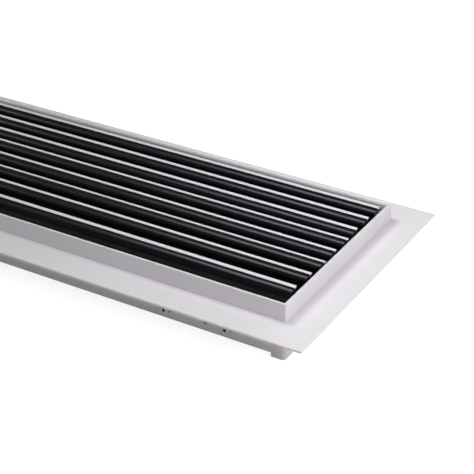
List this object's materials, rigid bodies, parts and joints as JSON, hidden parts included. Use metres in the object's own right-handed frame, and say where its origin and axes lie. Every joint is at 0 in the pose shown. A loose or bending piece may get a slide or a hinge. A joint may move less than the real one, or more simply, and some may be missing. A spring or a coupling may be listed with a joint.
{
  "type": "linear ceiling vent",
  "caption": "Long linear ceiling vent built in before plastering: white flanged aluminium frame, nylon corner keys, and curved black blades with white edges that each turn on end pins.",
  "frame": {"origin": "middle of the grille on the plane that the four corner keys stand on, with the face up", "axes": "+X along the blades, +Y across them to the side the lips point to, +Z out of the face into the room"},
  "size_m": [0.65, 0.214, 0.0467],
  "materials": {
    "white_frame": "satin white powder coat on aluminium",
    "nylon_key": "moulded milky nylon",
    "steel_plate": "zinc plated",
    "zinc_screw": "zinc plated",
    "dark_comb": "matte black",
    "black_blade": "gloss black coat on aluminium",
    "white_strip": "satin white insert strip",
    "dark_pin": "moulded black nylon"
  },
  "bodies": {
    "frame": {"near_rail": "white_frame", "far_rail": "white_frame", "left_rail": "white_frame", "right_rail": "white_frame", "corner_key_near_left": "nylon_key", "corner_key_near_right": "nylon_key", "corner_key_far_left": "nylon_key", "corner_key_far_right": "nylon_key", "tie_plate_near_left": "steel_plate", "tie_plate_near_right": "steel_plate", "tie_plate_far_left": "steel_plate", "tie_plate_far_right": "steel_plate", "tie_plate_screws": "zinc_screw", "pivot_comb_left": "dark_comb", "pivot_comb_right": "dark_comb"},
    "blade_1_body": {"blade_1": "black_blade", "blade_strip_1": "white_strip", "blade_pin_1_left": "dark_pin", "blade_pin_1_right": "dark_pin"},
    "blade_2_body": {"blade_2": "black_blade", "blade_strip_2": "white_strip", "blade_pin_2_left": "dark_pin", "blade_pin_2_right": "dark_pin"},
    "blade_3_body": {"blade_3": "black_blade", "blade_strip_3": "white_strip", "blade_pin_3_left": "dark_pin", "blade_pin_3_right": "dark_pin"},
    "blade_4_body": {"blade_4": "black_blade", "blade_strip_4": "white_strip", "blade_pin_4_left": "dark_pin", "blade_pin_4_right": "dark_pin"},
    "blade_5_body": {"blade_5": "black_blade", "blade_strip_5": "white_strip", "blade_pin_5_left": "dark_pin", "blade_pin_5_right": "dark_pin"},
    "blade_6_body": {"blade_6": "black_blade", "blade_strip_6": "white_strip", "blade_pin_6_left": "dark_pin", "blade_pin_6_right": "dark_pin"},
    "blade_7_body": {"blade_7": "black_blade", "blade_strip_7": "white_strip", "blade_pin_7_left": "dark_pin", "blade_pin_7_right": "dark_pin"},
    "blade_8_body": {"blade_8": "black_blade", "blade_strip_8": "white_strip", "blade_pin_8_left": "dark_pin", "blade_pin_8_right": "dark_pin"}
  },
  "joints": [
    {"name": "blade_1_turn", "type": "hinge", "parent": "frame", "child": "blade_1_body", "pos_m": [0, 0.064, 0.0265], "axis": [-1, 0, 0], "range_deg": [-9, 19]},
    {"name": "blade_2_turn", "type": "hinge", "parent": "frame", "child": "blade_2_body", "pos_m": [0, 0.04571, 0.0265], "axis": [-1, 0, 0], "range_deg": [-8, 20]},
    {"name": "blade_3_turn", "type": "hinge", "parent": "frame", "child": "blade_3_body", "pos_m": [0, 0.02743, 0.0265], "axis": [-1, 0, 0], "range_deg": [-7, 21]},
    {"name": "blade_4_turn", "type": "hinge", "parent": "frame", "child": "blade_4_body", "pos_m": [0, 0.00914, 0.0265], "axis": [-1, 0, 0], "range_deg": [-20, 8]},
    {"name": "blade_5_turn", "type": "hinge", "parent": "frame", "child": "blade_5_body", "pos_m": [0, -0.00914, 0.0265], "axis": [-1, 0, 0], "range_deg": [-17, 11]},
    {"name": "blade_6_turn", "type": "hinge", "parent": "frame", "child": "blade_6_body", "pos_m": [0, -0.02743, 0.0265], "axis": [-1, 0, 0], "range_deg": [-25, 3]},
    {"name": "blade_7_turn", "type": "hinge", "parent": "frame", "child": "blade_7_body", "pos_m": [0, -0.04571, 0.0265], "axis": [-1, 0, 0], "range_deg": [-16, 12]},
    {"name": "blade_8_turn", "type": "hinge", "parent": "frame", "child": "blade_8_body", "pos_m": [0, -0.064, 0.0265], "axis": [-1, 0, 0], "range_deg": [-4, 24]}
  ]
}
